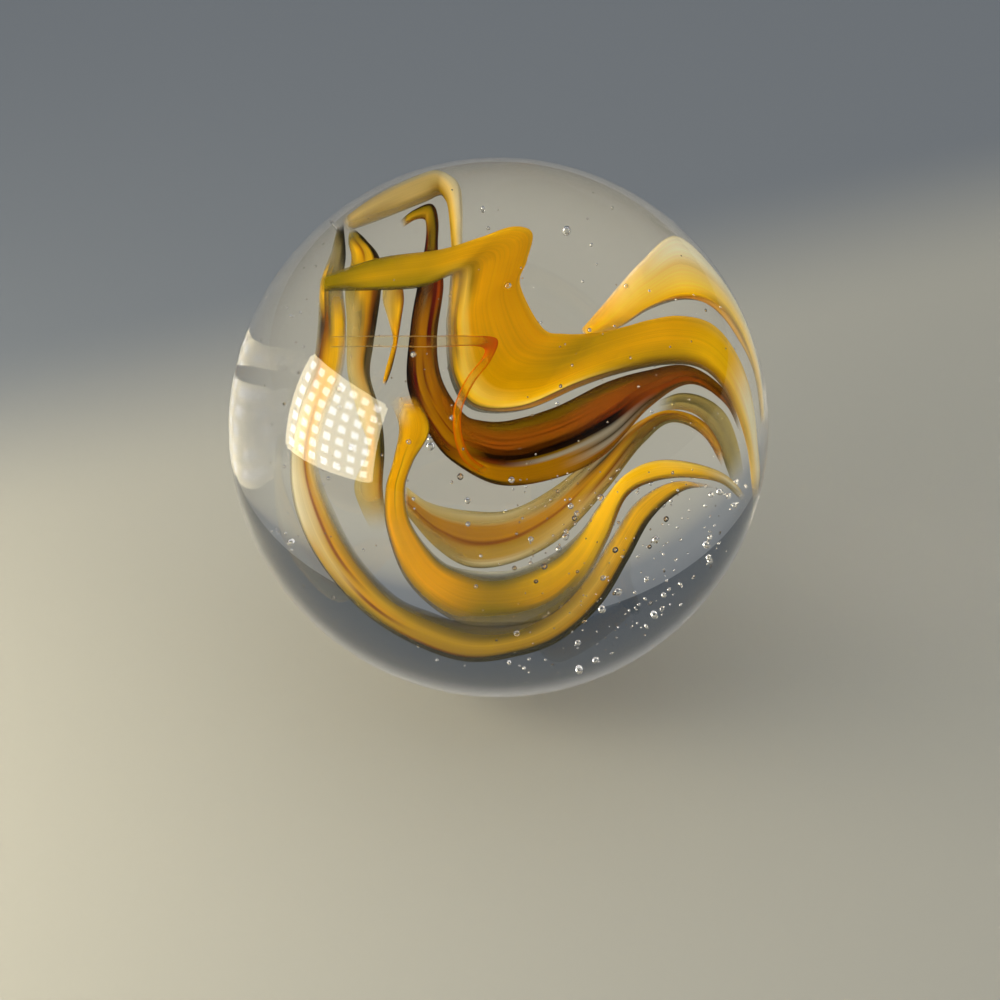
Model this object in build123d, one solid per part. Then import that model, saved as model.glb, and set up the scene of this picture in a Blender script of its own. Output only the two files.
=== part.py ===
"""A glass marble: a clear ball with eleven ribbons of coloured glass folded up inside it.

The ribbons are laid out as a glass worker judges them, by looking into the finished ball. A place on a
ribbon is given by where it shows on the ball's round outline and by how deep it lies along the bent line
of sight.
The frame has its origin at the ball's centre, +Z up, and the maker looks along +Y and down on the ball.
"""
import math
import os

from build123d import *

# Driving sizes, in millimetres
BALL_DIAMETER = 16.0
EYE_DISTANCE = 64.0
MAIN_THICKNESS = 0.32
REAR_THICKNESS = 0.28
AMBER_THICKNESS = 0.24
STRAND_THICKNESS = 0.10
INNER_THICKNESS = 0.24
TWISTED_THICKNESS = 0.24
BASE_THICKNESS = 0.26
LOOP_THICKNESS = 0.24
COLUMN_THICKNESS = 0.22
WEDGE_THICKNESS = 0.14
ARC_THICKNESS = 0.14

# The glass and the line of sight
REFRACTIVE_INDEX = 1.5
SIGHT_ELEVATION_DEGREES = 30.0

# A ribbon is never thicker than this share of its width, so that it thins out towards its narrow ends
STOUTEST_SHARE = 0.45

# Sections that a ribbon has from one row of its table to the next
STEPS_PER_ROW = 2

BALL_RADIUS = BALL_DIAMETER / 2
ELEVATION = math.radians(SIGHT_ELEVATION_DEGREES)
SIGHT_PLANE = Plane(
    origin=(0, 0, 0),
    x_dir=(1, 0, 0),
    z_dir=(0, -math.cos(ELEVATION), math.sin(ELEVATION)),
)

# Each row is one crosswise line of a ribbon, from its first edge to its second. An edge's three shares are
# how far it shows to the right and up from the middle of the outline, as shares of the outline's radius,
# and how deep it lies, from 0 where the line of sight enters the ball to 1 where it leaves.
MAIN_SHARES = [
    ((-0.665, 0.555, 0.30), (-0.665, 0.505, 0.30)),
    ((-0.44, 0.63, 0.28), (-0.44, 0.51, 0.29)),
    ((-0.22, 0.66, 0.27), (-0.29, 0.52, 0.28)),
    ((-0.07, 0.705, 0.26), (-0.20, 0.555, 0.28)),
    ((0.06, 0.745, 0.25), (-0.18, 0.565, 0.29)),
    ((0.125, 0.72, 0.26), (-0.18, 0.545, 0.31)),
    ((0.105, 0.62, 0.31), (-0.185, 0.475, 0.33)),
    ((0.08, 0.53, 0.35), (-0.195, 0.365, 0.34)),
    ((0.16, 0.375, 0.40), (-0.18, 0.185, 0.355)),
    ((0.245, 0.35, 0.42), (-0.10, 0.07, 0.355)),
    ((0.375, 0.355, 0.43), (0.08, 0.065, 0.36)),
    ((0.47, 0.375, 0.42), (0.285, 0.15, 0.37)),
    ((0.56, 0.40, 0.41), (0.43, 0.20, 0.37)),
    ((0.67, 0.415, 0.385), (0.60, 0.235, 0.355)),
    ((0.785, 0.387, 0.35), (0.73, 0.23, 0.33)),
    ((0.865, 0.30, 0.31), (0.815, 0.17, 0.30)),
    ((0.925, 0.16, 0.28), (0.88, 0.06, 0.275)),
    ((0.957, -0.05, 0.255), (0.921, -0.065, 0.255)),
    ((0.966, -0.18, 0.23), (0.937, -0.19, 0.235)),
    ((0.953, -0.275, 0.215), (0.942, -0.28, 0.215)),
]
REAR_SHARES = [
    ((0.30, 0.36, 0.62), (0.33, 0.33, 0.62)),
    ((0.375, 0.445, 0.60), (0.45, 0.375, 0.60)),
    ((0.525, 0.615, 0.55), (0.56, 0.44, 0.57)),
    ((0.655, 0.71, 0.50), (0.68, 0.475, 0.54)),
    ((0.80, 0.58, 0.47), (0.785, 0.455, 0.50)),
    ((0.90, 0.42, 0.43), (0.875, 0.355, 0.46)),
    ((0.965, 0.22, 0.38), (0.945, 0.20, 0.41)),
    ((0.985, 0.01, 0.33), (0.97, 0.01, 0.35)),
]
AMBER_SHARES = [
    ((-0.357, 0.739, 0.42), (-0.369, 0.761, 0.42)),
    ((-0.309, 0.769, 0.42), (-0.313, 0.806, 0.41)),
    ((-0.272, 0.769, 0.43), (-0.246, 0.828, 0.41)),
    ((-0.265, 0.728, 0.44), (-0.224, 0.765, 0.42)),
    ((-0.276, 0.646, 0.46), (-0.224, 0.654, 0.45)),
    ((-0.30, 0.52, 0.49), (-0.205, 0.53, 0.47)),
    ((-0.325, 0.365, 0.50), (-0.23, 0.33, 0.47)),
    ((-0.335, 0.15, 0.50), (-0.21, 0.18, 0.47)),
    ((-0.25, -0.03, 0.50), (-0.135, 0.06, 0.46)),
    ((-0.16, -0.13, 0.50), (-0.07, 0.03, 0.46)),
    ((0.005, -0.21, 0.50), (0.04, 0.03, 0.46)),
    ((0.21, -0.185, 0.50), (0.21, 0.08, 0.46)),
    ((0.39, -0.10, 0.49), (0.395, 0.17, 0.45)),
    ((0.56, 0.08, 0.47), (0.545, 0.213, 0.44)),
    ((0.71, 0.165, 0.43), (0.70, 0.23, 0.41)),
    ((0.84, 0.09, 0.37), (0.835, 0.14, 0.36)),
    ((0.90, -0.03, 0.33), (0.895, 0.0, 0.33)),
]
STRAND_SHARES = [
    ((-0.625, 0.34, 0.18), (-0.625, 0.30, 0.18)),
    ((-0.29, 0.343, 0.21), (-0.29, 0.30, 0.21)),
    ((-0.105, 0.343, 0.23), (-0.115, 0.305, 0.23)),
    ((-0.005, 0.33, 0.24), (-0.055, 0.295, 0.245)),
    ((-0.03, 0.25, 0.25), (-0.065, 0.255, 0.25)),
    ((-0.09, 0.17, 0.26), (-0.12, 0.185, 0.26)),
    ((-0.135, 0.07, 0.27), (-0.165, 0.08, 0.27)),
    ((-0.135, -0.025, 0.29), (-0.165, -0.03, 0.29)),
    ((-0.10, -0.105, 0.31), (-0.13, -0.12, 0.31)),
    ((-0.03, -0.155, 0.34), (-0.045, -0.18, 0.34)),
]
INNER_SHARES = [
    ((-0.35, -0.21, 0.52), (-0.357, -0.30, 0.52)),
    ((-0.255, -0.275, 0.53), (-0.235, -0.44, 0.52)),
    ((-0.105, -0.305, 0.54), (-0.105, -0.515, 0.52)),
    ((0.045, -0.30, 0.55), (0.06, -0.495, 0.52)),
    ((0.21, -0.215, 0.56), (0.23, -0.405, 0.52)),
    ((0.375, -0.08, 0.56), (0.395, -0.23, 0.52)),
    ((0.505, 0.013, 0.55), (0.525, -0.06, 0.52)),
    ((0.635, 0.065, 0.52), (0.635, 0.025, 0.50)),
    ((0.765, 0.02, 0.46), (0.755, -0.025, 0.45)),
    ((0.845, -0.115, 0.40), (0.83, -0.145, 0.39)),
]
TWISTED_SHARES = [
    ((-0.42, 0.125, 0.30), (-0.31, 0.135, 0.30)),
    ((-0.37, 0.013, 0.29), (-0.255, 0.0, 0.29)),
    ((-0.39, -0.115, 0.28), (-0.317, -0.125, 0.285)),
    ((-0.42, -0.23, 0.27), (-0.347, -0.23, 0.28)),
    ((-0.415, -0.375, 0.26), (-0.32, -0.36, 0.275)),
    ((-0.335, -0.575, 0.25), (-0.215, -0.487, 0.275)),
    ((-0.165, -0.715, 0.245), (-0.105, -0.525, 0.28)),
    ((0.005, -0.735, 0.25), (0.043, -0.525, 0.29)),
    ((0.18, -0.70, 0.26), (0.19, -0.47, 0.30)),
    ((0.31, -0.58, 0.275), (0.30, -0.383, 0.315)),
    ((0.40, -0.42, 0.29), (0.375, -0.28, 0.325)),
    ((0.47, -0.255, 0.30), (0.47, -0.172, 0.325)),
    ((0.58, -0.195, 0.29), (0.58, -0.12, 0.31)),
    ((0.71, -0.183, 0.25), (0.71, -0.125, 0.265)),
    ((0.828, -0.205, 0.20), (0.84, -0.172, 0.21)),
    ((0.905, -0.275, 0.16), (0.92, -0.26, 0.165)),
]
BASE_SHARES = [
    ((-0.591, 0.75, 0.36), (-0.572, 0.765, 0.36)),
    ((-0.617, 0.654, 0.37), (-0.565, 0.646, 0.37)),
    ((-0.657, 0.539, 0.37), (-0.576, 0.535, 0.37)),
    ((-0.668, 0.383, 0.37), (-0.565, 0.394, 0.37)),
    ((-0.69, 0.217, 0.32), (-0.575, 0.217, 0.335)),
    ((-0.743, 0.05, 0.28), (-0.643, 0.03, 0.29)),
    ((-0.772, -0.12, 0.265), (-0.67, -0.13, 0.28)),
    ((-0.754, -0.30, 0.26), (-0.613, -0.295, 0.285)),
    ((-0.67, -0.487, 0.26), (-0.52, -0.472, 0.29)),
    ((-0.513, -0.672, 0.26), (-0.383, -0.62, 0.30)),
    ((-0.328, -0.795, 0.265), (-0.246, -0.683, 0.31)),
    ((-0.124, -0.865, 0.27), (-0.105, -0.728, 0.32)),
    ((0.08, -0.843, 0.28), (0.05, -0.731, 0.33)),
    ((0.228, -0.787, 0.29), (0.19, -0.665, 0.34)),
    ((0.376, -0.657, 0.31), (0.31, -0.561, 0.355)),
    ((0.48, -0.487, 0.34), (0.413, -0.413, 0.375)),
    ((0.568, -0.331, 0.36), (0.51, -0.272, 0.385)),
    ((0.69, -0.228, 0.35), (0.646, -0.198, 0.37)),
    ((0.82, -0.22, 0.30), (0.79, -0.205, 0.315)),
]
LOOP_SHARES = [
    ((-0.583, 0.765, 0.46), (-0.56, 0.728, 0.48)),
    ((-0.439, 0.865, 0.48), (-0.42, 0.78, 0.50)),
    ((-0.29, 0.935, 0.49), (-0.272, 0.839, 0.52)),
    ((-0.217, 0.95, 0.49), (-0.224, 0.861, 0.53)),
    ((-0.154, 0.909, 0.50), (-0.198, 0.846, 0.54)),
    ((-0.139, 0.828, 0.52), (-0.18, 0.80, 0.55)),
    ((-0.135, 0.655, 0.565), (-0.172, 0.645, 0.575)),
]
COLUMN_SHARES = [
    ((-0.55, 0.724, 0.57), (-0.535, 0.739, 0.56)),
    ((-0.55, 0.676, 0.56), (-0.491, 0.698, 0.54)),
    ((-0.543, 0.617, 0.53), (-0.439, 0.628, 0.50)),
    ((-0.566, 0.513, 0.49), (-0.435, 0.52, 0.46)),
    ((-0.561, 0.402, 0.46), (-0.45, 0.402, 0.44)),
    ((-0.561, 0.309, 0.44), (-0.465, 0.306, 0.42)),
    ((-0.557, 0.198, 0.42), (-0.476, 0.194, 0.41)),
    ((-0.52, 0.05, 0.40), (-0.439, 0.061, 0.39)),
    ((-0.483, -0.08, 0.385), (-0.424, -0.072, 0.375)),
    ((-0.535, -0.206, 0.375), (-0.43, -0.206, 0.37)),
    ((-0.508, -0.305, 0.37), (-0.423, -0.30, 0.365)),
    ((-0.462, -0.395, 0.365), (-0.42, -0.39, 0.36)),
]
WEDGE_SHARES = [
    ((-0.424, 0.543, 0.39), (-0.357, 0.543, 0.38)),
    ((-0.428, 0.476, 0.39), (-0.35, 0.476, 0.38)),
    ((-0.409, 0.409, 0.39), (-0.361, 0.402, 0.38)),
    ((-0.391, 0.335, 0.38), (-0.372, 0.328, 0.38)),
    ((-0.398, 0.291, 0.38), (-0.38, 0.283, 0.38)),
    ((-0.417, 0.224, 0.375), (-0.398, 0.213, 0.375)),
    ((-0.431, 0.165, 0.375), (-0.42, 0.157, 0.375)),
]
ARC_SHARES = [
    ((0.58, 0.098, 0.62), (0.58, 0.061, 0.62)),
    ((0.672, 0.131, 0.60), (0.672, 0.069, 0.60)),
    ((0.765, 0.113, 0.57), (0.746, 0.039, 0.57)),
    ((0.843, 0.05, 0.53), (0.802, -0.035, 0.53)),
    ((0.887, -0.061, 0.49), (0.839, -0.135, 0.49)),
    ((0.909, -0.191, 0.46), (0.876, -0.228, 0.46)),
]


def seen_at(across_share, up_share, depth_share):
    """The place in the ball that shows at these shares of its outline, at that share of the way through.

    The line of sight runs from the eye to the ball, and bends there by the law of refraction.
    """
    eye = Vector(0, 0, EYE_DISTANCE)
    spread = BALL_RADIUS / math.sqrt(EYE_DISTANCE**2 - BALL_RADIUS**2)
    sight = Vector(across_share * spread, up_share * spread, -1).normalized()
    nearest = -eye.dot(sight)
    entry = eye + sight * (nearest - math.sqrt(nearest**2 - EYE_DISTANCE**2 + BALL_RADIUS**2))
    outward = entry.normalized()
    ratio = 1 / REFRACTIVE_INDEX
    cosine = -sight.dot(outward)
    bent_cosine = math.sqrt(1 - ratio**2 * (1 - cosine**2))
    bent_sight = sight * ratio + outward * (ratio * cosine - bent_cosine)
    way_through = -2 * entry.dot(bent_sight)
    return SIGHT_PLANE.from_local_coords(entry + bent_sight * (way_through * depth_share))


def ribbon_section(first_edge, second_edge, heading, full_thickness):
    """The corners across a ribbon: thickest in the middle, and thinned to a line at its edges."""
    width = second_edge - first_edge
    middle = first_edge + width / 2
    thickness = min(full_thickness, STOUTEST_SHARE * width.length)
    rise = heading.cross(width).normalized() * (thickness / 2)
    return [first_edge, middle + rise, second_edge, middle - rise]


def in_between(before, start, end, after, step_share):
    """The point at that share of the way from start to end, on a cubic that heads for the neighbours."""
    leaving = (end - before) / 2
    arriving = (after - start) / 2
    rise = end - start
    bend = rise * 3 - leaving * 2 - arriving
    ease = leaving + arriving - rise * 2
    return start + (leaving + (bend + ease * step_share) * step_share) * step_share


def smooth_edge(points):
    """An edge of a ribbon: its points, with evenly spaced ones between each two of them."""
    ends = [points[0] * 2 - points[1], *points, points[-1] * 2 - points[-2]]
    edge = []
    for neighbours in zip(ends, ends[1:], ends[2:], ends[3:]):
        edge += [in_between(*neighbours, step / STEPS_PER_ROW) for step in range(STEPS_PER_ROW)]
    return edge + [points[-1]]


def facets_between(section, next_section):
    """The three-cornered facets of a ribbon's skin from one section to the next."""
    facets = []
    for corner in range(len(section)):
        here, there = section[corner - 1], section[corner]
        ahead, beyond = next_section[corner - 1], next_section[corner]
        facets += [(here, there, beyond), (here, beyond, ahead)]
    return facets


def ribbon(row_shares, full_thickness):
    """A ribbon of coloured glass: facets from section to section along its two edges, closed at both ends."""
    first_edge = smooth_edge([seen_at(*first) for first, second in row_shares])
    second_edge = smooth_edge([seen_at(*second) for first, second in row_shares])
    middles = [(first + second) / 2 for first, second in zip(first_edge, second_edge)]
    headings = [after - before for before, after in zip(middles, middles[2:])]
    headings = [middles[1] - middles[0], *headings, middles[-1] - middles[-2]]
    sections = [
        ribbon_section(first, second, heading, full_thickness)
        for first, second, heading in zip(first_edge, second_edge, headings)
    ]
    outlines = [sections[0], sections[-1]]
    for section, next_section in zip(sections, sections[1:]):
        outlines += facets_between(section, next_section)
    return Solid(Shell([Face(Wire.make_polygon(outline)) for outline in outlines]))


def clear_body(ribbons):
    """The clear glass: the whole ball, less the room that the ribbons take up."""
    return Solid.make_sphere(BALL_RADIUS).cut(*ribbons)


RIBBONS = {
    "main_yellow_ribbon": (MAIN_SHARES, MAIN_THICKNESS),
    "rear_yellow_ribbon": (REAR_SHARES, REAR_THICKNESS),
    "amber_ribbon": (AMBER_SHARES, AMBER_THICKNESS),
    "loop_strand": (STRAND_SHARES, STRAND_THICKNESS),
    "inner_amber_ribbon": (INNER_SHARES, INNER_THICKNESS),
    "twisted_yellow_ribbon": (TWISTED_SHARES, TWISTED_THICKNESS),
    "base_yellow_ribbon": (BASE_SHARES, BASE_THICKNESS),
    "top_loop_ribbon": (LOOP_SHARES, LOOP_THICKNESS),
    "left_column_ribbon": (COLUMN_SHARES, COLUMN_THICKNESS),
    "column_wedge": (WEDGE_SHARES, WEDGE_THICKNESS),
    "right_arc_ribbon": (ARC_SHARES, ARC_THICKNESS),
}

pieces = {name: ribbon(*layout) for name, layout in RIBBONS.items()}
pieces["clear_body"] = clear_body(list(pieces.values()))

os.makedirs("parts", exist_ok=True)
for name, solid in pieces.items():
    export_step(solid, f"parts/{name}.step")
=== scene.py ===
import math
from typing import NamedTuple

import bpy
import numpy as np
from mathutils import Matrix, Vector


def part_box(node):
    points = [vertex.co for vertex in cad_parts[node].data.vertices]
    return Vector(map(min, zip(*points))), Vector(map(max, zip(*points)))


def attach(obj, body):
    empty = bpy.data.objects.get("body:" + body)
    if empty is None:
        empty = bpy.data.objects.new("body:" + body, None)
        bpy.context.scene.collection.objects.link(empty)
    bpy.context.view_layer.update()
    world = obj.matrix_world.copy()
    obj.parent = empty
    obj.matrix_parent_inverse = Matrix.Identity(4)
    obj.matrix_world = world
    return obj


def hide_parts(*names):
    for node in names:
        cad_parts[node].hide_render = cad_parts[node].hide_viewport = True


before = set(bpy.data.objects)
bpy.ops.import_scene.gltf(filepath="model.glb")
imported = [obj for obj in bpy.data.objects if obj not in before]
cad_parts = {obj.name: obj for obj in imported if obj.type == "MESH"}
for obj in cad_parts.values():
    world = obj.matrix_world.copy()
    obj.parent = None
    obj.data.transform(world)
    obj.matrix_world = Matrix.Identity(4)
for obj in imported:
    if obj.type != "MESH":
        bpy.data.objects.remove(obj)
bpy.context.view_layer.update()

# The ball, from the frame, and the line of sight that its swirl is laid out for
lowest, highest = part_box("clear_body")
BALL_RADIUS = (highest[2] - lowest[2]) / 2
EYE_DISTANCE = 8 * BALL_RADIUS
SIGHT_ELEVATION = math.radians(30)
REFRACTIVE_INDEX = 1.5
SIGHT_RIGHT = (1, 0, 0)
SIGHT_UP = (0, math.sin(SIGHT_ELEVATION), math.cos(SIGHT_ELEVATION))
TOWARDS_EYE = (0, -math.cos(SIGHT_ELEVATION), math.sin(SIGHT_ELEVATION))

# How far the ball's outline spreads from the line of sight, for each length along it
OUTLINE_SPREAD = BALL_RADIUS / math.sqrt(EYE_DISTANCE**2 - BALL_RADIUS**2)

# The photograph's frame, in pixels: where the ball's outline lies in it
FRAME_PIXELS = 1000
OUTLINE_CENTRE_PIXELS = (498.5, 428.5)
OUTLINE_RADIUS_PIXELS = 270

# Mesh counts
STEPS_PER_ROW = 10
SECTION_POINTS = 32
BALL_SEGMENTS = 256
BALL_RINGS = 128
BUBBLE_SEGMENTS = 8
BUBBLE_RINGS = 5

# Ribbon thickness, in metres, and its largest share of a ribbon's width
MAIN_THICKNESS = 0.00032
REAR_THICKNESS = 0.00028
AMBER_THICKNESS = 0.00024
STRAND_THICKNESS = 0.00010
INNER_THICKNESS = 0.00024
TWISTED_THICKNESS = 0.00024
BASE_THICKNESS = 0.00026
LOOP_THICKNESS = 0.00024
COLUMN_THICKNESS = 0.00022
WEDGE_THICKNESS = 0.00014
ARC_THICKNESS = 0.00014
STOUTEST_SHARE = 0.45

# Each row is one crosswise line of a ribbon, from its first edge to its second. An edge's three shares are
# how far it shows to the right and up from the middle of the outline, as shares of the outline's radius,
# and how deep it lies, from 0 where the line of sight enters the ball to 1 where it leaves.
MAIN_SHARES = [
    ((-0.665, 0.555, 0.30), (-0.665, 0.505, 0.30)),
    ((-0.44, 0.63, 0.28), (-0.44, 0.51, 0.29)),
    ((-0.22, 0.66, 0.27), (-0.29, 0.52, 0.28)),
    ((-0.07, 0.705, 0.26), (-0.20, 0.555, 0.28)),
    ((0.06, 0.745, 0.25), (-0.18, 0.565, 0.29)),
    ((0.125, 0.72, 0.26), (-0.18, 0.545, 0.31)),
    ((0.105, 0.62, 0.31), (-0.185, 0.475, 0.33)),
    ((0.08, 0.53, 0.35), (-0.195, 0.365, 0.34)),
    ((0.16, 0.375, 0.40), (-0.18, 0.185, 0.355)),
    ((0.245, 0.35, 0.42), (-0.10, 0.07, 0.355)),
    ((0.375, 0.355, 0.43), (0.08, 0.065, 0.36)),
    ((0.47, 0.375, 0.42), (0.285, 0.15, 0.37)),
    ((0.56, 0.40, 0.41), (0.43, 0.20, 0.37)),
    ((0.67, 0.415, 0.385), (0.60, 0.235, 0.355)),
    ((0.785, 0.387, 0.35), (0.73, 0.23, 0.33)),
    ((0.865, 0.30, 0.31), (0.815, 0.17, 0.30)),
    ((0.925, 0.16, 0.28), (0.88, 0.06, 0.275)),
    ((0.957, -0.05, 0.255), (0.921, -0.065, 0.255)),
    ((0.966, -0.18, 0.23), (0.937, -0.19, 0.235)),
    ((0.953, -0.275, 0.215), (0.942, -0.28, 0.215)),
]
REAR_SHARES = [
    ((0.30, 0.36, 0.62), (0.33, 0.33, 0.62)),
    ((0.375, 0.445, 0.60), (0.45, 0.375, 0.60)),
    ((0.525, 0.615, 0.55), (0.56, 0.44, 0.57)),
    ((0.655, 0.71, 0.50), (0.68, 0.475, 0.54)),
    ((0.80, 0.58, 0.47), (0.785, 0.455, 0.50)),
    ((0.90, 0.42, 0.43), (0.875, 0.355, 0.46)),
    ((0.965, 0.22, 0.38), (0.945, 0.20, 0.41)),
    ((0.985, 0.01, 0.33), (0.97, 0.01, 0.35)),
]
AMBER_SHARES = [
    ((-0.357, 0.739, 0.42), (-0.369, 0.761, 0.42)),
    ((-0.309, 0.769, 0.42), (-0.313, 0.806, 0.41)),
    ((-0.272, 0.769, 0.43), (-0.246, 0.828, 0.41)),
    ((-0.265, 0.728, 0.44), (-0.224, 0.765, 0.42)),
    ((-0.276, 0.646, 0.46), (-0.224, 0.654, 0.45)),
    ((-0.30, 0.52, 0.49), (-0.205, 0.53, 0.47)),
    ((-0.325, 0.365, 0.50), (-0.23, 0.33, 0.47)),
    ((-0.335, 0.15, 0.50), (-0.21, 0.18, 0.47)),
    ((-0.25, -0.03, 0.50), (-0.135, 0.06, 0.46)),
    ((-0.16, -0.13, 0.50), (-0.07, 0.03, 0.46)),
    ((0.005, -0.21, 0.50), (0.04, 0.03, 0.46)),
    ((0.21, -0.185, 0.50), (0.21, 0.08, 0.46)),
    ((0.39, -0.10, 0.49), (0.395, 0.17, 0.45)),
    ((0.56, 0.08, 0.47), (0.545, 0.213, 0.44)),
    ((0.71, 0.165, 0.43), (0.70, 0.23, 0.41)),
    ((0.84, 0.09, 0.37), (0.835, 0.14, 0.36)),
    ((0.90, -0.03, 0.33), (0.895, 0.0, 0.33)),
]
STRAND_SHARES = [
    ((-0.625, 0.34, 0.18), (-0.625, 0.30, 0.18)),
    ((-0.29, 0.343, 0.21), (-0.29, 0.30, 0.21)),
    ((-0.105, 0.343, 0.23), (-0.115, 0.305, 0.23)),
    ((-0.005, 0.33, 0.24), (-0.055, 0.295, 0.245)),
    ((-0.03, 0.25, 0.25), (-0.065, 0.255, 0.25)),
    ((-0.09, 0.17, 0.26), (-0.12, 0.185, 0.26)),
    ((-0.135, 0.07, 0.27), (-0.165, 0.08, 0.27)),
    ((-0.135, -0.025, 0.29), (-0.165, -0.03, 0.29)),
    ((-0.10, -0.105, 0.31), (-0.13, -0.12, 0.31)),
    ((-0.03, -0.155, 0.34), (-0.045, -0.18, 0.34)),
]
INNER_SHARES = [
    ((-0.35, -0.21, 0.52), (-0.357, -0.30, 0.52)),
    ((-0.255, -0.275, 0.53), (-0.235, -0.44, 0.52)),
    ((-0.105, -0.305, 0.54), (-0.105, -0.515, 0.52)),
    ((0.045, -0.30, 0.55), (0.06, -0.495, 0.52)),
    ((0.21, -0.215, 0.56), (0.23, -0.405, 0.52)),
    ((0.375, -0.08, 0.56), (0.395, -0.23, 0.52)),
    ((0.505, 0.013, 0.55), (0.525, -0.06, 0.52)),
    ((0.635, 0.065, 0.52), (0.635, 0.025, 0.50)),
    ((0.765, 0.02, 0.46), (0.755, -0.025, 0.45)),
    ((0.845, -0.115, 0.40), (0.83, -0.145, 0.39)),
]
TWISTED_SHARES = [
    ((-0.42, 0.125, 0.30), (-0.31, 0.135, 0.30)),
    ((-0.37, 0.013, 0.29), (-0.255, 0.0, 0.29)),
    ((-0.39, -0.115, 0.28), (-0.317, -0.125, 0.285)),
    ((-0.42, -0.23, 0.27), (-0.347, -0.23, 0.28)),
    ((-0.415, -0.375, 0.26), (-0.32, -0.36, 0.275)),
    ((-0.335, -0.575, 0.25), (-0.215, -0.487, 0.275)),
    ((-0.165, -0.715, 0.245), (-0.105, -0.525, 0.28)),
    ((0.005, -0.735, 0.25), (0.043, -0.525, 0.29)),
    ((0.18, -0.70, 0.26), (0.19, -0.47, 0.30)),
    ((0.31, -0.58, 0.275), (0.30, -0.383, 0.315)),
    ((0.40, -0.42, 0.29), (0.375, -0.28, 0.325)),
    ((0.47, -0.255, 0.30), (0.47, -0.172, 0.325)),
    ((0.58, -0.195, 0.29), (0.58, -0.12, 0.31)),
    ((0.71, -0.183, 0.25), (0.71, -0.125, 0.265)),
    ((0.828, -0.205, 0.20), (0.84, -0.172, 0.21)),
    ((0.905, -0.275, 0.16), (0.92, -0.26, 0.165)),
]
BASE_SHARES = [
    ((-0.591, 0.75, 0.36), (-0.572, 0.765, 0.36)),
    ((-0.617, 0.654, 0.37), (-0.565, 0.646, 0.37)),
    ((-0.657, 0.539, 0.37), (-0.576, 0.535, 0.37)),
    ((-0.668, 0.383, 0.37), (-0.565, 0.394, 0.37)),
    ((-0.69, 0.217, 0.32), (-0.575, 0.217, 0.335)),
    ((-0.743, 0.05, 0.28), (-0.643, 0.03, 0.29)),
    ((-0.772, -0.12, 0.265), (-0.67, -0.13, 0.28)),
    ((-0.754, -0.30, 0.26), (-0.613, -0.295, 0.285)),
    ((-0.67, -0.487, 0.26), (-0.52, -0.472, 0.29)),
    ((-0.513, -0.672, 0.26), (-0.383, -0.62, 0.30)),
    ((-0.328, -0.795, 0.265), (-0.246, -0.683, 0.31)),
    ((-0.124, -0.865, 0.27), (-0.105, -0.728, 0.32)),
    ((0.08, -0.843, 0.28), (0.05, -0.731, 0.33)),
    ((0.228, -0.787, 0.29), (0.19, -0.665, 0.34)),
    ((0.376, -0.657, 0.31), (0.31, -0.561, 0.355)),
    ((0.48, -0.487, 0.34), (0.413, -0.413, 0.375)),
    ((0.568, -0.331, 0.36), (0.51, -0.272, 0.385)),
    ((0.69, -0.228, 0.35), (0.646, -0.198, 0.37)),
    ((0.82, -0.22, 0.30), (0.79, -0.205, 0.315)),
]
LOOP_SHARES = [
    ((-0.583, 0.765, 0.46), (-0.56, 0.728, 0.48)),
    ((-0.439, 0.865, 0.48), (-0.42, 0.78, 0.50)),
    ((-0.29, 0.935, 0.49), (-0.272, 0.839, 0.52)),
    ((-0.217, 0.95, 0.49), (-0.224, 0.861, 0.53)),
    ((-0.154, 0.909, 0.50), (-0.198, 0.846, 0.54)),
    ((-0.139, 0.828, 0.52), (-0.18, 0.80, 0.55)),
    ((-0.135, 0.655, 0.565), (-0.172, 0.645, 0.575)),
]
COLUMN_SHARES = [
    ((-0.55, 0.724, 0.57), (-0.535, 0.739, 0.56)),
    ((-0.55, 0.676, 0.56), (-0.491, 0.698, 0.54)),
    ((-0.543, 0.617, 0.53), (-0.439, 0.628, 0.50)),
    ((-0.566, 0.513, 0.49), (-0.435, 0.52, 0.46)),
    ((-0.561, 0.402, 0.46), (-0.45, 0.402, 0.44)),
    ((-0.561, 0.309, 0.44), (-0.465, 0.306, 0.42)),
    ((-0.557, 0.198, 0.42), (-0.476, 0.194, 0.41)),
    ((-0.52, 0.05, 0.40), (-0.439, 0.061, 0.39)),
    ((-0.483, -0.08, 0.385), (-0.424, -0.072, 0.375)),
    ((-0.535, -0.206, 0.375), (-0.43, -0.206, 0.37)),
    ((-0.508, -0.305, 0.37), (-0.423, -0.30, 0.365)),
    ((-0.462, -0.395, 0.365), (-0.42, -0.39, 0.36)),
]
WEDGE_SHARES = [
    ((-0.424, 0.543, 0.39), (-0.357, 0.543, 0.38)),
    ((-0.428, 0.476, 0.39), (-0.35, 0.476, 0.38)),
    ((-0.409, 0.409, 0.39), (-0.361, 0.402, 0.38)),
    ((-0.391, 0.335, 0.38), (-0.372, 0.328, 0.38)),
    ((-0.398, 0.291, 0.38), (-0.38, 0.283, 0.38)),
    ((-0.417, 0.224, 0.375), (-0.398, 0.213, 0.375)),
    ((-0.431, 0.165, 0.375), (-0.42, 0.157, 0.375)),
]
ARC_SHARES = [
    ((0.58, 0.098, 0.62), (0.58, 0.061, 0.62)),
    ((0.672, 0.131, 0.60), (0.672, 0.069, 0.60)),
    ((0.765, 0.113, 0.57), (0.746, 0.039, 0.57)),
    ((0.843, 0.05, 0.53), (0.802, -0.035, 0.53)),
    ((0.887, -0.061, 0.49), (0.839, -0.135, 0.49)),
    ((0.909, -0.191, 0.46), (0.876, -0.228, 0.46)),
]

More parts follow.
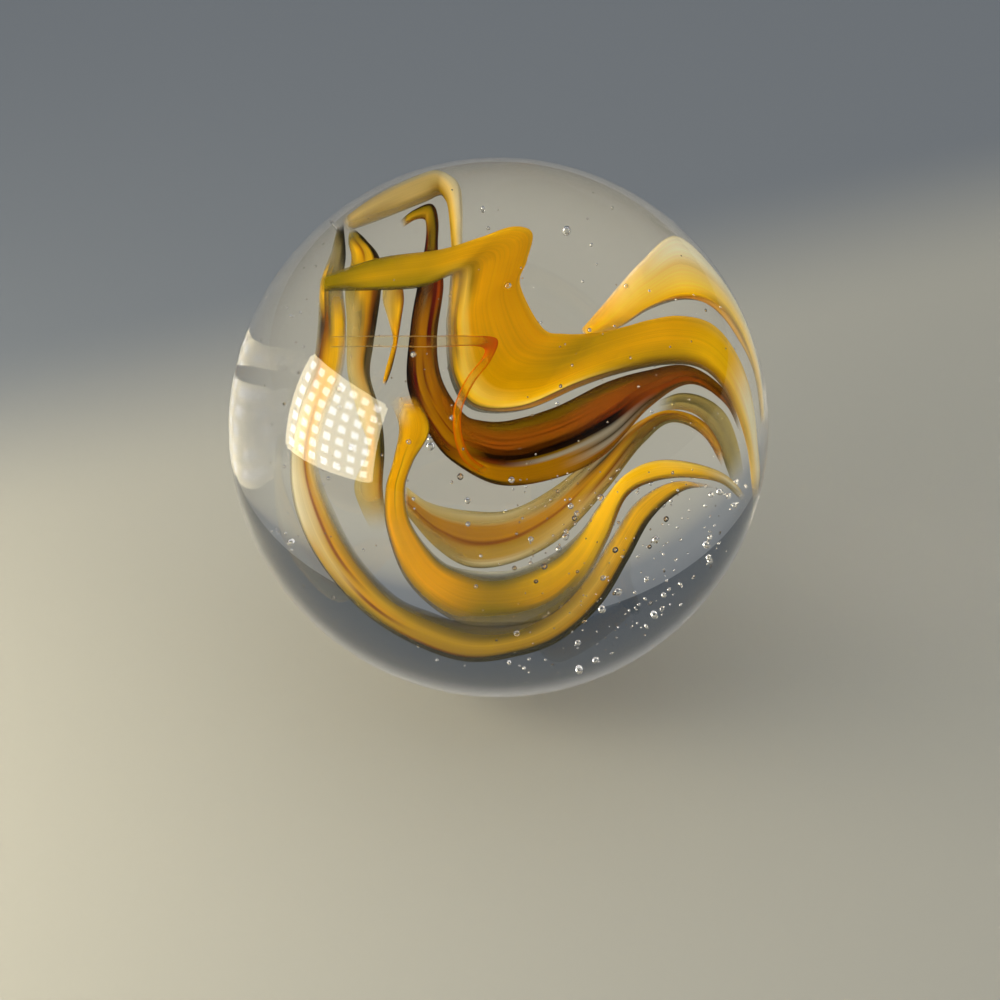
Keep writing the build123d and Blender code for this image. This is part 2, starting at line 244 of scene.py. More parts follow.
# Glass colours. The curve from a screen's values to linear light has a straight toe and then a power.
SCREEN_WHITE = 255
TOE_LIMIT_SHARE = 0.04045
TOE_SLOPE = 12.92
CURVE_OFFSET_SHARE = 0.055
CURVE_POWER = 2.4


def paint(red, green, blue):
    """A colour as written on a screen, made linear."""
    shares = np.array([red, green, blue]) / SCREEN_WHITE
    curve = ((shares + CURVE_OFFSET_SHARE) / (1 + CURVE_OFFSET_SHARE)) ** CURVE_POWER
    linear = np.where(shares <= TOE_LIMIT_SHARE, shares / TOE_SLOPE, curve)
    return (*linear.tolist(), 1)


ORANGE = paint(248, 174, 2)
GOLD = paint(228, 164, 4)
MUSTARD = paint(216, 170, 30)
YELLOW = paint(253, 194, 20)
BRIGHT_YELLOW = paint(255, 212, 84)
CREAM = paint(255, 244, 200)
PALE = paint(240, 206, 122)
OCHRE = paint(182, 140, 8)
OLIVE = paint(138, 116, 10)
DARK_OLIVE = paint(54, 50, 20)
HONEY = paint(212, 148, 8)
BROWN = paint(146, 80, 4)
MAROON = paint(92, 14, 6)
DARK_BROWN = paint(18, 7, 2)
RUST = paint(224, 92, 2)
SMOKE = paint(122, 120, 98)
PEARL = paint(196, 190, 166)
UNTINTED = (1, 1, 1, 1)
CLEAR_TINT = (0.98, 0.98, 0.96, 1)
AMBER_TINT = (0.80, 0.47, 0.11, 1)
HONEY_TINT = (0.95, 0.86, 0.54, 1)
STRAND_TINT = (0.99, 0.97, 0.89, 1)

# The stripes of each ribbon, at shares of its length. A stripe has its share of the way across the ribbon,
# its glass, and the share of light that its milky body stops. The rest goes through the ribbon's clear tint.
MAIN_STRIPE_SHARES = [
    (0.03, [(0.0, OLIVE, 0.3), (0.3, OLIVE, 0.9), (0.7, OLIVE, 0.9), (1.0, DARK_OLIVE, 0.3)]),
    (0.1, [(0.0, OLIVE, 0.6), (0.15, OLIVE, 1.0), (0.6, OCHRE, 1.0), (0.9, OLIVE, 1.0),
           (1.0, DARK_OLIVE, 0.4)]),
    (0.17, [(0.0, OCHRE, 0.7), (0.15, OCHRE, 1.0), (0.5, OCHRE, 1.0), (0.9, OLIVE, 1.0),
            (1.0, DARK_OLIVE, 0.4)]),
    (0.24, [(0.0, YELLOW, 0.8), (0.12, GOLD, 1.0), (0.5, GOLD, 1.0), (0.75, MUSTARD, 1.0),
            (1.0, OLIVE, 0.5)]),
    (0.3, [(0.0, YELLOW, 0.8), (0.08, ORANGE, 1.0), (0.6, ORANGE, 1.0), (0.74, OCHRE, 0.9),
           (0.8, BRIGHT_YELLOW, 0.9), (0.88, OCHRE, 0.6), (0.93, YELLOW, 0.8), (1.0, OLIVE, 0.3)]),
    (0.37, [(0.0, YELLOW, 0.8), (0.06, ORANGE, 1.0), (0.7, ORANGE, 1.0), (0.79, BRIGHT_YELLOW, 1.0),
            (0.86, YELLOW, 0.9), (0.9, DARK_OLIVE, 0.5), (0.93, OCHRE, 0.7), (1.0, SMOKE, 0.2)]),
    (0.44, [(0.0, YELLOW, 0.8), (0.06, ORANGE, 1.0), (0.72, GOLD, 1.0), (0.86, BRIGHT_YELLOW, 1.0),
            (0.92, YELLOW, 1.0), (0.945, DARK_OLIVE, 0.9), (0.965, SMOKE, 0.5),
            (0.985, DARK_OLIVE, 0.7), (1.0, SMOKE, 0.2)]),
    (0.53, [(0.0, GOLD, 0.8), (0.1, OCHRE, 1.0), (0.45, OCHRE, 1.0), (0.75, GOLD, 1.0),
            (0.88, YELLOW, 1.0), (0.93, BRIGHT_YELLOW, 1.0), (0.955, DARK_OLIVE, 0.9),
            (0.975, SMOKE, 0.4), (1.0, SMOKE, 0.2)]),
    (0.68, [(0.0, YELLOW, 0.7), (0.12, GOLD, 1.0), (0.55, GOLD, 1.0), (0.85, OCHRE, 1.0),
            (1.0, DARK_OLIVE, 0.6)]),
    (0.78, [(0.0, BRIGHT_YELLOW, 0.8), (0.3, YELLOW, 1.0), (0.8, YELLOW, 1.0), (1.0, DARK_OLIVE, 0.6)]),
    (0.86, [(0.0, PALE, 0.9), (0.15, CREAM, 1.0), (0.6, CREAM, 1.0), (0.85, BRIGHT_YELLOW, 1.0),
            (1.0, OCHRE, 0.7)]),
    (0.97, [(0.0, PALE, 0.8), (0.4, CREAM, 1.0), (1.0, BRIGHT_YELLOW, 0.8)]),
]
REAR_STRIPE_SHARES = [
    (0.05, [(0.0, YELLOW, 0.5), (0.5, YELLOW, 1.0), (1.0, OCHRE, 0.5)]),
    (0.22, [(0.0, CREAM, 0.5), (0.1, PALE, 1.0), (0.5, BRIGHT_YELLOW, 1.0), (0.93, YELLOW, 1.0),
            (0.97, SMOKE, 0.7), (1.0, SMOKE, 0.3)]),
    (0.37, [(0.0, CREAM, 0.3), (0.06, CREAM, 1.0), (0.22, CREAM, 1.0), (0.45, PALE, 1.0),
            (0.75, BRIGHT_YELLOW, 1.0), (0.93, YELLOW, 1.0), (0.97, DARK_OLIVE, 0.7),
            (1.0, SMOKE, 0.3)]),
    (0.6, [(0.0, CREAM, 0.4), (0.2, CREAM, 1.0), (0.75, BRIGHT_YELLOW, 1.0), (0.92, DARK_OLIVE, 0.7),
           (1.0, SMOKE, 0.4)]),
    (0.95, [(0.0, CREAM, 0.3), (0.5, PALE, 0.5), (1.0, OLIVE, 0.3)]),
]
AMBER_STRIPE_SHARES = [
    (0.04, [(0.0, OLIVE, 0.3), (0.4, MUSTARD, 0.8), (0.8, OLIVE, 0.8), (0.93, DARK_BROWN, 0.9),
            (1.0, DARK_BROWN, 0.4)]),
    (0.1, [(0.0, DARK_BROWN, 0.8), (0.3, MAROON, 0.9), (0.45, OLIVE, 0.4), (0.8, OLIVE, 0.8),
           (0.95, DARK_BROWN, 0.9), (1.0, DARK_BROWN, 0.4)]),
    (0.18, [(0.0, DARK_BROWN, 0.95), (0.26, DARK_BROWN, 0.95), (0.34, BROWN, 0.3), (0.5, SMOKE, 0.4),
            (0.62, MAROON, 0.7), (0.85, MAROON, 0.9), (0.92, RUST, 0.5), (1.0, DARK_BROWN, 0.7)]),
    (0.25, [(0.0, DARK_BROWN, 0.95), (0.1, DARK_BROWN, 0.8), (0.2, BROWN, 0.3), (0.5, HONEY, 0.5),
            (0.7, HONEY, 0.5), (0.77, MAROON, 0.95), (0.87, MAROON, 0.9), (0.92, OLIVE, 0.5),
            (1.0, DARK_OLIVE, 0.6)]),
    (0.33, [(0.0, DARK_BROWN, 0.95), (0.22, DARK_BROWN, 0.7), (0.29, MAROON, 0.5), (0.33, MAROON, 0.95),
            (0.39, MAROON, 0.9), (0.43, HONEY, 0.6), (0.58, HONEY, 0.5), (0.63, MAROON, 0.9),
            (0.68, HONEY, 0.5), (0.86, HONEY, 0.4), (0.94, DARK_OLIVE, 0.8), (1.0, DARK_OLIVE, 0.5)]),
    (0.42, [(0.0, DARK_OLIVE, 0.7), (0.07, DARK_BROWN, 0.9), (0.2, BROWN, 0.4), (0.3, MAROON, 0.9),
            (0.36, HONEY, 0.6), (0.52, HONEY, 0.4), (0.56, MAROON, 0.8), (0.6, HONEY, 0.4),
            (0.9, BROWN, 0.3), (1.0, DARK_OLIVE, 0.6)]),
    (0.5, [(0.0, DARK_OLIVE, 0.6), (0.05, DARK_OLIVE, 0.8), (0.1, HONEY, 0.8), (0.28, HONEY, 0.8),
           (0.36, MAROON, 0.6), (0.42, DARK_BROWN, 0.95), (0.47, DARK_BROWN, 0.9), (0.5, BROWN, 0.3),
           (0.6, RUST, 0.15), (0.64, MAROON, 0.6), (0.68, RUST, 0.15), (0.82, BROWN, 0.2),
           (0.9, OLIVE, 0.6), (1.0, DARK_OLIVE, 0.6)]),
    (0.6, [(0.0, DARK_OLIVE, 0.6), (0.04, HONEY, 0.8), (0.29, HONEY, 0.9), (0.33, PEARL, 0.9),
           (0.36, PEARL, 0.9), (0.39, OCHRE, 0.6), (0.42, DARK_BROWN, 0.95), (0.5, DARK_BROWN, 0.95),
           (0.54, BROWN, 0.2), (0.68, RUST, 0.2), (0.71, MAROON, 0.5), (0.74, RUST, 0.2),
           (0.86, OLIVE, 0.5), (0.94, OLIVE, 0.7), (1.0, DARK_OLIVE, 0.6)]),
    (0.7, [(0.0, OLIVE, 0.2), (0.1, HONEY, 0.5), (0.15, PEARL, 0.9), (0.2, PEARL, 0.9),
           (0.24, DARK_OLIVE, 0.7), (0.28, PEARL, 0.8), (0.36, PEARL, 0.9), (0.42, DARK_BROWN, 0.95),
           (0.52, DARK_BROWN, 0.9), (0.58, RUST, 0.3), (0.8, RUST, 0.2), (0.9, OLIVE, 0.6),
           (1.0, DARK_OLIVE, 0.6)]),
    (0.8, [(0.0, SMOKE, 0.3), (0.25, DARK_OLIVE, 0.7), (0.4, RUST, 0.4), (0.75, BROWN, 0.4),
           (1.0, DARK_OLIVE, 0.7)]),
    (0.93, [(0.0, DARK_BROWN, 0.6), (0.4, BROWN, 0.5), (0.7, DARK_BROWN, 0.8), (1.0, OLIVE, 0.4)]),
]
STRAND_STRIPE_SHARES = [
    (0.3, [(0.0, HONEY, 0.5), (0.12, PALE, 0.0), (0.88, PALE, 0.0), (1.0, HONEY, 0.5)]),
    (0.44, [(0.0, RUST, 0.5), (0.2, HONEY, 0.15), (0.8, HONEY, 0.15), (1.0, RUST, 0.6)]),
    (0.52, [(0.0, RUST, 0.9), (0.5, RUST, 0.6), (1.0, RUST, 0.8)]),
    (0.6, [(0.0, RUST, 0.9), (0.25, ORANGE, 0.25), (0.75, ORANGE, 0.25), (1.0, RUST, 0.9)]),
    (0.92, [(0.0, RUST, 0.8), (0.5, ORANGE, 0.5), (1.0, RUST, 0.7)]),
]
INNER_STRIPE_SHARES = [
    (0.08, [(0.0, CREAM, 0.3), (0.22, PALE, 0.4), (0.3, HONEY, 0.7), (0.5, HONEY, 0.7),
            (0.56, BROWN, 0.95), (0.62, HONEY, 0.5), (1.0, OLIVE, 0.3)]),
    (0.26, [(0.0, OLIVE, 0.3), (0.08, CREAM, 0.4), (0.2, PALE, 0.3), (0.27, HONEY, 0.7),
            (0.52, HONEY, 0.8), (0.57, BROWN, 0.95), (0.61, BROWN, 0.95), (0.64, MUSTARD, 0.6),
            (0.85, MUSTARD, 0.5), (0.93, CREAM, 0.5), (1.0, DARK_OLIVE, 0.6)]),
    (0.44, [(0.0, OLIVE, 0.4), (0.1, PALE, 0.3), (0.22, SMOKE, 0.5), (0.3, PALE, 0.3),
            (0.38, HONEY, 0.8), (0.52, HONEY, 0.8), (0.57, BROWN, 0.95), (0.62, MUSTARD, 0.6),
            (0.88, PALE, 0.5), (1.0, DARK_OLIVE, 0.4)]),
    (0.58, [(0.0, DARK_OLIVE, 0.6), (0.1, PEARL, 0.7), (0.22, OLIVE, 0.6), (0.3, PEARL, 0.7),
            (0.4, DARK_OLIVE, 0.8), (0.5, HONEY, 0.9), (0.66, YELLOW, 0.9), (0.8, BROWN, 0.8),
            (0.88, PALE, 0.5), (1.0, OLIVE, 0.4)]),
    (0.74, [(0.0, BROWN, 0.8), (0.2, YELLOW, 0.9), (0.4, HONEY, 0.9), (0.5, BROWN, 0.8),
            (0.58, OLIVE, 0.4), (0.9, OLIVE, 0.4), (1.0, DARK_OLIVE, 0.5)]),
    (0.92, [(0.0, BROWN, 0.8), (0.4, YELLOW, 0.7), (1.0, BROWN, 0.6)]),
]
TWISTED_STRIPE_SHARES = [
    (0.02, [(0.0, PALE, 0.0), (0.2, PALE, 0.2), (0.45, YELLOW, 0.8), (0.65, GOLD, 1.0),
            (0.85, GOLD, 0.8), (1.0, OCHRE, 0.1)]),
    (0.07, [(0.0, OCHRE, 0.6), (0.2, GOLD, 1.0), (0.75, GOLD, 1.0), (0.95, YELLOW, 1.0),
            (1.0, OLIVE, 0.4)]),
    (0.14, [(0.0, OCHRE, 0.7), (0.12, GOLD, 1.0), (0.4, ORANGE, 1.0), (0.46, OCHRE, 1.0),
            (0.52, YELLOW, 1.0), (0.85, ORANGE, 1.0), (1.0, OLIVE, 0.4)]),
    (0.23, [(0.0, DARK_OLIVE, 0.5), (0.15, ORANGE, 1.0), (0.3, GOLD, 1.0), (0.8, ORANGE, 1.0),
            (0.92, OCHRE, 0.8), (1.0, OLIVE, 0.2)]),
    (0.33, [(0.0, DARK_OLIVE, 0.3), (0.12, OCHRE, 0.8), (0.3, ORANGE, 1.0), (0.75, ORANGE, 1.0),
            (0.92, OLIVE, 0.7), (1.0, SMOKE, 0.2)]),
    # Partly painted shade: the olive and dark olive towards the second edge here stand in for shadow; the
    # other stripes are the glass's own colour
    (0.43, [(0.0, DARK_OLIVE, 0.6), (0.04, OLIVE, 0.4), (0.18, OLIVE, 0.6), (0.3, OLIVE, 1.0),
            (0.5, OCHRE, 1.0), (0.66, OCHRE, 1.0), (0.82, OLIVE, 0.8), (0.92, DARK_OLIVE, 0.4),
            (1.0, CREAM, 0.3)]),
    (0.54, [(0.0, DARK_OLIVE, 0.6), (0.04, OLIVE, 0.4), (0.22, OLIVE, 0.6), (0.36, GOLD, 1.0),
            (0.75, YELLOW, 1.0), (0.9, OLIVE, 0.6), (1.0, SMOKE, 0.2)]),
    (0.64, [(0.0, OLIVE, 0.2), (0.15, MUSTARD, 0.9), (0.4, YELLOW, 1.0), (0.85, YELLOW, 1.0),
            (1.0, OLIVE, 0.2)]),
    (0.76, [(0.0, DARK_OLIVE, 0.4), (0.15, YELLOW, 1.0), (0.7, YELLOW, 1.0), (0.9, BRIGHT_YELLOW, 1.0),
            (1.0, OCHRE, 0.4)]),
    (0.86, [(0.0, OCHRE, 0.6), (0.3, YELLOW, 1.0), (0.8, BRIGHT_YELLOW, 1.0), (1.0, OCHRE, 0.4)]),
    (0.95, [(0.0, OLIVE, 0.6), (0.5, CREAM, 1.0), (1.0, BRIGHT_YELLOW, 0.5)]),
]
BASE_STRIPE_SHARES = [
    (0.02, [(0.0, OLIVE, 0.5), (0.6, DARK_OLIVE, 0.8), (1.0, DARK_BROWN, 0.9)]),
    (0.05, [(0.0, OLIVE, 0.1), (0.3, OLIVE, 0.5), (0.7, OLIVE, 0.5), (0.85, DARK_OLIVE, 0.9),
            (1.0, DARK_BROWN, 0.8)]),
    (0.09, [(0.0, PALE, 0.3), (0.1, MUSTARD, 0.8), (0.26, YELLOW, 0.9), (0.32, DARK_OLIVE, 0.7),
            (0.4, OLIVE, 0.5), (0.9, OLIVE, 0.5), (1.0, OLIVE, 0.1)]),
    (0.14, [(0.0, OLIVE, 0.1), (0.18, DARK_BROWN, 0.8), (0.4, BROWN, 0.8), (0.52, OLIVE, 0.6),
            (0.7, YELLOW, 0.9), (0.9, YELLOW, 0.9), (1.0, OLIVE, 0.2)]),
    (0.19, [(0.0, OLIVE, 0.2), (0.2, BROWN, 0.8), (0.4, GOLD, 0.9), (0.75, YELLOW, 0.9),
            (0.9, PALE, 0.4), (1.0, PALE, 0.1)]),
    (0.3, [(0.0, OLIVE, 0.3), (0.1, CREAM, 0.5), (0.45, PALE, 0.5), (0.56, BROWN, 0.85),
           (0.62, HONEY, 0.7), (0.72, PALE, 0.6), (1.0, CREAM, 0.1)]),
    (0.37, [(0.0, OLIVE, 0.3), (0.1, CREAM, 0.5), (0.48, PALE, 0.5), (0.54, BROWN, 0.9),
            (0.58, BROWN, 0.9), (0.62, HONEY, 0.8), (0.75, MUSTARD, 0.7), (0.9, OLIVE, 0.3),
            (1.0, OLIVE, 0.05)]),
    (0.44, [(0.0, DARK_OLIVE, 0.5), (0.08, MUSTARD, 0.6), (0.3, PALE, 0.7), (0.48, MUSTARD, 0.7),
            (0.53, BROWN, 0.95), (0.57, BROWN, 0.95), (0.61, GOLD, 0.9), (0.8, OCHRE, 0.8),
            (0.94, DARK_OLIVE, 0.3), (1.0, OLIVE, 0.05)]),
    (0.51, [(0.0, DARK_OLIVE, 0.7), (0.1, OLIVE, 0.7), (0.26, MUSTARD, 0.9), (0.32, BROWN, 0.95),
            (0.36, BROWN, 0.95), (0.4, GOLD, 1.0), (0.62, MUSTARD, 1.0), (0.84, OLIVE, 0.6),
            (1.0, DARK_OLIVE, 0.2)]),
    (0.58, [(0.0, DARK_OLIVE, 0.9), (0.09, DARK_OLIVE, 0.8), (0.14, BROWN, 0.9), (0.2, OCHRE, 1.0),
            (0.5, MUSTARD, 1.0), (0.78, OLIVE, 0.7), (1.0, DARK_OLIVE, 0.3)]),
    (0.68, [(0.0, DARK_OLIVE, 0.95), (0.13, DARK_OLIVE, 0.9), (0.26, OCHRE, 1.0), (0.48, MUSTARD, 1.0),
            (0.7, OLIVE, 0.8), (0.94, OLIVE, 0.4), (1.0, DARK_OLIVE, 0.6)]),
    (0.8, [(0.0, DARK_OLIVE, 0.95), (0.14, DARK_OLIVE, 0.9), (0.22, GOLD, 1.0),
           (0.5, BRIGHT_YELLOW, 1.0), (0.8, MUSTARD, 0.8), (1.0, OLIVE, 0.1)]),
    (0.88, [(0.0, DARK_OLIVE, 0.95), (0.12, DARK_OLIVE, 0.9), (0.22, YELLOW, 1.0), (0.65, YELLOW, 1.0),
            (0.9, OCHRE, 0.6), (1.0, OLIVE, 0.1)]),
    (0.95, [(0.0, DARK_OLIVE, 0.8), (0.3, YELLOW, 1.0), (0.8, YELLOW, 0.9), (1.0, OLIVE, 0.2)]),
]
LOOP_STRIPE_SHARES = [
    (0.12, [(0.0, PALE, 0.4), (0.5, PALE, 0.8), (1.0, OLIVE, 0.3)]),
    (0.42, [(0.0, CREAM, 0.4), (0.3, PALE, 0.9), (0.8, PALE, 0.8), (1.0, OLIVE, 0.4)]),
    (0.64, [(0.0, CREAM, 0.6), (0.4, PALE, 1.0), (0.8, OCHRE, 0.9), (1.0, OLIVE, 0.5)]),
    (0.85, [(0.0, CREAM, 0.9), (0.4, BRIGHT_YELLOW, 1.0), (0.7, OCHRE, 1.0), (1.0, MUSTARD, 0.6)]),
]
COLUMN_STRIPE_SHARES = [
    (0.03, [(0.0, OLIVE, 0.3), (0.7, OLIVE, 0.7), (1.0, DARK_BROWN, 0.9)]),
    (0.13, [(0.0, OCHRE, 0.5), (0.3, YELLOW, 0.9), (0.45, GOLD, 0.9), (0.54, BROWN, 0.95),
            (0.62, MUSTARD, 0.9), (0.78, YELLOW, 0.8), (0.88, DARK_BROWN, 0.95),
            (1.0, DARK_BROWN, 0.6)]),
    (0.28, [(0.0, OLIVE, 0.1), (0.3, OLIVE, 0.5), (0.5, YELLOW, 0.8), (0.76, GOLD, 0.9),
            (0.86, BROWN, 0.95), (1.0, DARK_OLIVE, 0.8)]),
    (0.38, [(0.0, PALE, 0.1), (0.3, PALE, 0.3), (0.55, OLIVE, 0.5), (0.72, GOLD, 0.9),
            (0.84, BROWN, 0.9), (0.92, DARK_BROWN, 0.95), (1.0, DARK_OLIVE, 0.6)]),
    (0.5, [(0.0, CREAM, 0.1), (0.4, PALE, 0.4), (0.72, HONEY, 0.7), (0.84, DARK_OLIVE, 0.95),
           (1.0, SMOKE, 0.6)]),
    (0.64, [(0.0, CREAM, 0.1), (0.5, PALE, 0.5), (0.8, PALE, 0.5), (0.92, DARK_OLIVE, 0.9),
            (1.0, SMOKE, 0.4)]),
    (0.76, [(0.0, PALE, 0.3), (0.4, GOLD, 0.7), (0.7, OLIVE, 0.8), (0.9, DARK_OLIVE, 0.9),
            (1.0, DARK_OLIVE, 0.5)]),
    (0.86, [(0.0, CREAM, 0.1), (0.4, PALE, 0.4), (0.8, YELLOW, 0.4), (0.93, BROWN, 0.8),
            (1.0, OLIVE, 0.3)]),
    (0.96, [(0.0, PALE, 0.2), (0.6, PALE, 0.4), (1.0, OLIVE, 0.3)]),
]
WEDGE_STRIPE_SHARES = [
    (0.05, [(0.0, PALE, 0.2), (0.6, MUSTARD, 0.5), (1.0, BROWN, 0.7)]),
    (0.28, [(0.0, PALE, 0.3), (0.5, MUSTARD, 0.6), (0.85, YELLOW, 0.9), (1.0, BROWN, 0.8)]),
    (0.55, [(0.0, OCHRE, 0.8), (0.6, ORANGE, 1.0), (1.0, BROWN, 0.8)]),
    (0.8, [(0.0, YELLOW, 0.8), (0.6, HONEY, 0.9), (1.0, DARK_BROWN, 0.9)]),
]
ARC_STRIPE_SHARES = [
    (0.25, [(0.0, DARK_BROWN, 0.7), (0.12, OLIVE, 0.3), (0.5, DARK_OLIVE, 0.5), (0.6, OLIVE, 0.2),
            (1.0, BROWN, 0.4)]),
    (0.65, [(0.0, OLIVE, 0.1), (0.4, SMOKE, 0.3), (0.7, OLIVE, 0.3), (1.0, DARK_OLIVE, 0.5)]),
]

# Shares of a ribbon's length over which its start and its end melt into the clear glass
SOFT_MELT_SHARES = (0.15, 0.25)
PLAIN_MELT_SHARES = (0.02, 0.06)
TWISTED_MELT_SHARES = (0.045, 0.06)
LOOP_MELT_SHARES = (0.06, 0.01)
COLUMN_MELT_SHARES = (0.03, 0.12)

# How a ribbon's stripes wander and streak: noise per ball radius along it and per width across it
WANDER_ALONG, WANDER_ACROSS = 3.0, 1.2
STREAK_ALONG, STREAK_ACROSS = 1.6, 26.0
NOISE_DETAIL = 2.0
NOISE_MIDDLE = 0.5
WANDER_SHARE = 0.06
STREAK_SHARE = 0.045
SHADE_SHARE = 0.45
RIBBON_ROUGHNESS = 0.6

# Painted light: how strongly a ribbon glows in its own colour though it is no lamp, to brighten ribbons that
# the lamps leave dim inside the ball
NO_PAINTED_GLOW = 0.0
SOFT_PAINTED_GLOW = 0.11
STRONG_PAINTED_GLOW = 0.28

# Seed bubbles: counts, radii in ball radii, and the shares between which they lie, as in the ribbons' rows
BUBBLE_SEED = 16
SCATTERED_BUBBLES = 320
SWARMING_BUBBLES = 400
SMALLEST_BUBBLE_SHARE = 0.0028
BUBBLE_GROWTH_SHARE = 0.0085
GROWTH_POWER = 6
SCATTER_SHARES = ((-0.9, -0.9, 0.06), (0.9, 0.9, 0.75))
SWARM_SHARES = ((0.05, -0.95, 0.04), (0.93, -0.15, 0.6))
BUBBLE_LIMIT_SHARE = 0.95

# Sizes, places and colours of the floor, the lights and the camera
FLOOR_REACH = 60 * BALL_RADIUS
# The floor's far side is painted shade: it turns blue-grey between these lengths away from the ball, nearer
# the ball at the left
FAR_SLANT = 0.5
FAR_START = 1.9 * BALL_RADIUS
FAR_END = 3.9 * BALL_RADIUS
FLOOR_COLOUR = paint(172, 171, 161)
FAR_PAINTED_SHADE = paint(124, 130, 136)
FLOOR_ROUGHNESS = 0.8
KEY_DIRECTION = (-0.943, -0.323, 0.221)
KEY_DISTANCE = 6 * BALL_RADIUS
KEY_WIDTH = 4.5 * BALL_RADIUS
KEY_HEIGHT = 3.0 * BALL_RADIUS
KEY_ROLL = math.radians(9)
KEY_COLOUR = (1.0, 0.95, 0.86)
KEY_RADIANCE = 16.0
GRID_CELLS = 7
GRID_BAR_SHARE = 0.45
GRID_STANDOFF = 0.1 * BALL_RADIUS
GRID_COLOUR = (1.0, 0.86, 0.56, 1)
GRID_RADIANCE = 9.0
ROOM_LIGHT = (0.95, 0.95, 0.95, 1)
ROOM_DARK = (0.035, 0.048, 0.065, 1)
DARK_START, DARK_END = -0.5, 0.45
REFLECTED_ROOM_SHARE = 0.1
VIEWER_START, VIEWER_END = 0.78, 0.95
VIEWER_SHADE_SHARE = 0.85
CLIP_START = BALL_RADIUS / 10
CLIP_END = 1000 * BALL_RADIUS


# Shapes

def seen_at(shares):
    """Places in the ball that show at these shares of its outline, at those shares of the way through it.

    The line of sight runs from the eye to the ball, bends there by the law of refraction, and goes on.
    """
    eye = np.array([0, 0, EYE_DISTANCE / BALL_RADIUS])
    sight = np.concatenate([shares[..., :2] * OUTLINE_SPREAD, np.full(shares.shape[:-1] + (1,), -1.0)], -1)
    sight /= np.linalg.norm(sight, axis=-1, keepdims=True)
    nearest = -(sight @ eye)
    reach = nearest - np.sqrt(nearest**2 - eye[2] ** 2 + 1)
    entry = eye + sight * reach[..., None]
    cosine = -(sight * entry).sum(-1)
    bent_cosine = np.sqrt(1 - (1 - cosine**2) / REFRACTIVE_INDEX**2)
    bent = sight / REFRACTIVE_INDEX + entry * (cosine / REFRACTIVE_INDEX - bent_cosine)[..., None]
    way_through = -2 * (entry * bent).sum(-1)
    place = entry + bent * (way_through * shares[..., 2])[..., None]
    return BALL_RADIUS * (place @ np.array([SIGHT_RIGHT, SIGHT_UP, TOWARDS_EYE]))


def smooth_edge(points):
    """An edge of a ribbon: between two points a cubic in the share of the way, headed by their neighbours."""
    ends = np.vstack([2 * points[:1] - points[1:2], points, 2 * points[-1:] - points[-2:-1]])
    before, start, end, after = (ends[i : len(ends) - 3 + i, None] for i in range(4))
    share = (np.arange(STEPS_PER_ROW) / STEPS_PER_ROW)[None, :, None]
    leaving, arriving, rise = (end - before) / 2, (after - start) / 2, end - start
    bend = 3 * rise - 2 * leaving - arriving
    ease = leaving + arriving - 2 * rise
    curve = start + (leaving + (bend + ease * share) * share) * share
    return np.vstack([curve.reshape(-1, 3), points[-1:]])


def tube(rings):
    """The skin over rings of points: four-sided faces from ring to ring, and a fan at each end."""
    count, around = rings.shape[:2]
    index = np.arange(count * around).reshape(count, around)
    beside = np.roll(index, -1, axis=1)
    sides = np.stack([index[:-1], index[1:], beside[1:], beside[:-1]], -1).reshape(-1, 4)
    start, end = count * around, count * around + 1
    near = np.stack([np.full(around, start), index[0], beside[0]], -1)
    far = np.stack([np.full(around, end), beside[-1], index[-1]], -1)
    points = np.vstack([rings.reshape(-1, 3), rings[0].mean(0), rings[-1].mean(0)])
    return points, [sides, np.vstack([near, far])]


def ribbon_surface(row_shares, full_thickness):
    """A flat ellipse carried along a ribbon: at angle a it lies (1 - cos a) / 2 of the way from edge to edge,
    and sin a times half the thickness above the middle. Its map has the shares of the way along the ribbon
    and from edge to edge."""
    rows = np.asarray(row_shares, float)
    first, second = smooth_edge(seen_at(rows[:, 0])), smooth_edge(seen_at(rows[:, 1]))
    width = second - first
    middle = (first + second) / 2
    above = np.cross(np.gradient(middle, axis=0), width)
    above /= np.linalg.norm(above, axis=1, keepdims=True)
    thickness = np.minimum(full_thickness, STOUTEST_SHARE * np.linalg.norm(width, axis=1))
    rise = above * thickness[:, None] / 2
    angle = np.linspace(0, 2 * math.pi, SECTION_POINTS, endpoint=False)
    across = (1 - np.cos(angle)) / 2
    rings = first[:, None] + width[:, None] * across[:, None] + rise[:, None] * np.sin(angle)[:, None]
    steps = np.linalg.norm(np.diff(middle, axis=0), axis=1)
    along = np.concatenate([[0], np.cumsum(steps)]) / steps.sum()
    flat = np.stack(np.broadcast_arrays(along[:, None], across), -1).reshape(-1, 2)
    caps = np.array([[0, 0.5], [1, 0.5]])
    points, faces = tube(rings)
    return points, faces, np.vstack([flat, caps]), steps.sum() / BALL_RADIUS


def sphere_surface(segments, rings):
    """A ball of radius one: rings at even steps of the angle from pole to pole, and a point at each."""
    slope = np.linspace(0, math.pi, rings + 1)[1:-1, None]
    turn = np.linspace(0, 2 * math.pi, segments, endpoint=False)
    flat_x, flat_y = np.sin(slope) * np.cos(turn), np.sin(slope) * np.sin(turn)
    height = np.broadcast_to(np.cos(slope), flat_x.shape)
    points, faces = tube(np.stack([flat_x, flat_y, height], -1))
    points[-2:] = [[0, 0, 1], [0, 0, -1]]
    return points, faces


def glass_surface(bubble_places, bubble_radii):
    """The ball's skin, and in it a small round void for each seed bubble, with its faces turned inwards."""
    skin, skin_faces = sphere_surface(BALL_SEGMENTS, BALL_RINGS)
    seed, seed_faces = sphere_surface(BUBBLE_SEGMENTS, BUBBLE_RINGS)
    voids = bubble_places[:, None] + seed * bubble_radii[:, None, None]
    starts = len(skin) + len(seed) * np.arange(len(bubble_places))
    turned = [group[:, ::-1] for group in seed_faces]
    void_faces = [(starts[:, None, None] + group).reshape(-1, group.shape[1]) for group in turned]
    return np.vstack([skin * BALL_RADIUS, voids.reshape(-1, 3)]), skin_faces + void_faces


